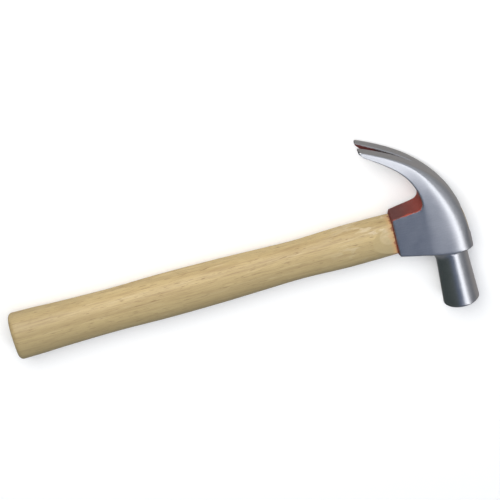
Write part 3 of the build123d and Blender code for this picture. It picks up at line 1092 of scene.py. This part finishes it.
# painted shade: a darker crescent along the round run-out of the flat cut
cut_runout_painted_shade = times(tree, remap(tree, reach.outputs["Value"], 0.68, 0.8), cut_face)
knots = stretched_noise(tree, (170, 420, 420), detail=2, offset=(1.7, 3.1, 0.4))
near_knots = remap(tree, x, shoulder_x - 0.09, shoulder_x - 0.03)
knot = times(tree, remap(tree, knots, 0.7, 0.78), near_knots)
jittered_x = plus(tree, x, remap(tree, grain.outputs["Tear"], 0.3, 0.7, -0.0022, 0.0012))
layers = [
    (times(tree, tear, 0.55), (0.66, 0.56, 0.39)),
    (times(tree, cut_face, 0.45), (0.66, 0.53, 0.31)),
    (times(tree, cut_runout_painted_shade, 0.6), (0.45, 0.33, 0.14)),
    (times(tree, knot, 0.8), (0.3, 0.15, 0.05)),
    (remap(tree, y, origin.y + 0.013, origin.y - 0.016, 0, 0.62), (0.27, 0.225, 0.12)),  # painted shade: darker towards the lower edge, away from the key lamp
    (remap(tree, x, shoulder_x - 0.19, shoulder_x - 0.27, 0, 0.3), (0.3, 0.235, 0.12)),  # darker towards the butt
    # the wood turns orange, then dark red, over the last millimetres before the mouth
    (remap(tree, jittered_x, shoulder_x - 0.0058, shoulder_x - 0.001, 0, 0.6), (0.55, 0.3, 0.12)),
    (remap(tree, jittered_x, shoulder_x - 0.0018, shoulder_x - 0.0007, 0, 0.8), (0.26, 0.075, 0.035)),
    (remap(tree, x, shoulder_x + 0.0001, shoulder_x + 0.0006), (0.5, 0.385, 0.2)),  # in the eye
]
color = overlay(tree, grain.outputs["Color"], layers)
rough = remap(tree, grain.outputs["Tear"], 0.3, 0.7, 0.48, 0.6)
wire(tree, shader, {"Base Color": color, "Roughness": rough})
shader.inputs["Coat Weight"].default_value = 0.06
shader.inputs["Coat Roughness"].default_value = 0.4
relief = plus(tree, grain.outputs["Height"], times(tree, tear, 1.2))
bump(tree, relief, 0.4, 0.00012, shader)
handle.data.materials.append(ash)

# %% Wedge materials
hardwood, tree, shader = new_material("wedge hardwood")
grain = use_group(tree, wood_grain, {"Pale": (0.4, 0.27, 0.13), "Dark": (0.3, 0.19, 0.085)})
rough = remap(tree, grain.outputs["Tear"], 0.3, 0.7, 0.5, 0.66)
wire(tree, shader, {"Base Color": grain.outputs["Color"], "Roughness": rough})
bump(tree, grain.outputs["Height"], 0.5, 0.00015, shader)
wood_wedge.data.materials.append(hardwood)

dull_steel, tree, shader = new_material("dull wedge steel")
metal = use_group(tree, ground_steel, {"Tint": (0.4, 0.39, 0.38), "Dullness": 0.45})
stain = remap(tree, stretched_noise(tree, (500, 500, 500), detail=4, roughness=0.65), 0.55, 0.72)
color = blend(tree, stain, metal.outputs["Color"], (0.2, 0.1, 0.05))
bare = math_node(tree, "SUBTRACT", 1.0, times(tree, stain, 0.8))
wire(tree, shader, {"Base Color": color, "Metallic": bare, "Roughness": metal.outputs["Roughness"]})
bump(tree, metal.outputs["Height"], 0.4, 0.00015, shader)
for piece in (steel_lower, steel_upper):
    piece.data.materials.append(dull_steel)
print("materials:", sorted(m.name for m in bpy.data.materials))

# %% [markdown]
# ## Light and camera
#
# The hammer lies on a plain pale floor. A large soft lamp stands behind it on the left and a long strip
# on the right, which runs down the crown and the poll as one bright line. A wide lamp overhead lights
# floor and wood, unseen by the steel. The sky is darker towards the left, so the poll turns from dark
# to light.

# %% Floor
scene = bpy.context.scene
scene.view_settings.view_transform = "Standard"
bm = bmesh.new()
bmesh.ops.create_grid(bm, x_segments=2, y_segments=2, size=6)
floor_mesh = bpy.data.meshes.new("floor")
bm.to_mesh(floor_mesh)
bm.free()
floor_mesh.transform(Matrix.Translation((0, 0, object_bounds()[0][2])))
floor = bpy.data.objects.new("floor", floor_mesh)
scene.collection.objects.link(floor)
floor.visible_glossy = False
paper, tree, shader = new_material("pale paper")
looks = {"Base Color": (0.93, 0.93, 0.93, 1), "Roughness": 0.9, "Emission Color": (1, 1, 1, 1)}
looks["Emission Strength"] = 0.08
for label, value in looks.items():
    shader.inputs[label].default_value = value
floor_mesh.materials.append(paper)
print("floor laid")

# %% Sky
sky = bpy.data.worlds.new("studio")
scene.world = sky
sky.use_nodes = True
tree = sky.node_tree
x, y, z = axes(tree, "Generated")
glow = times(tree, remap(tree, x, 0.4, 0.6), remap(tree, y, -0.44, -0.25))
layers = [
    (remap(tree, x, 0.3, 0.55), (0.22, 0.23, 0.255)),
    (remap(tree, x, 0.7, 0.95), (0.12, 0.127, 0.14)),
    (glow, (0.5, 0.515, 0.545)),
    (times(tree, glow, remap(tree, x, 0.7, 0.95)), (0.27, 0.28, 0.3)),
    (remap(tree, y, -0.1, 0.5), (0.42, 0.44, 0.46)),
    (remap(tree, z, 0.1, -0.25), (0.34, 0.325, 0.315)),
    (remap(tree, x, -0.1, -0.55), (0.06, 0.075, 0.073)),
    (remap(tree, y, -0.6, -0.95), (0.17, 0.18, 0.195)),
]
air = overlay(tree, (0.078, 0.112, 0.196), layers)
tree.links.new(air, tree.nodes["Background"].inputs["Color"])
print("sky made")


# %% Lamps
def lamp(name, at, size, power, tint=(1, 1, 1), aim=(0, 0, 0)):
    """A rectangular lamp at a drawn point, its long side along Y, aimed at another."""
    light = bpy.data.lights.new(name, "AREA")
    light.shape = "RECTANGLE"
    light.size, light.size_y = size
    light.energy = power
    light.color = tint
    stand = bpy.data.objects.new(name, light)
    scene.collection.objects.link(stand)
    stand.location = place(*at)
    stand.rotation_euler = (place(*aim) - place(*at)).to_track_quat("-Z", "Y").to_euler()
    return stand


lamp("key", (-300, 660, 880), (0.8, 0.8), 10.0, (1.0, 0.985, 0.96))
lamp("strip", (315, -400, 755), (0.24, 1.2), 1.9)
overhead = lamp("overhead", (-150, 300, 1400), (2.4, 2.4), 10.0)
overhead.visible_glossy = False

# %% Camera
TILT, ROLL = math.radians(27), math.radians(15.24)
towards = Vector((0, math.sin(TILT), math.cos(TILT)))
level = Vector((1, 0, 0))
upright = Vector((0, math.cos(TILT), -math.sin(TILT)))
right = level * math.cos(ROLL) - upright * math.sin(ROLL)
up = level * math.sin(ROLL) + upright * math.cos(ROLL)
lens = bpy.data.cameras.new("camera")
lens.lens, lens.sensor_width, lens.clip_end = 154.3, 36, 50
camera = bpy.data.objects.new("camera", lens)
scene.collection.objects.link(camera)
stand = Matrix((right, up, towards)).transposed().to_4x4()
stand.translation = place(-137.3, 17.1, 0) + towards * 1.5
camera.matrix_world = stand
scene.camera = camera
print("camera stands at", [round(v, 3) for v in stand.translation])
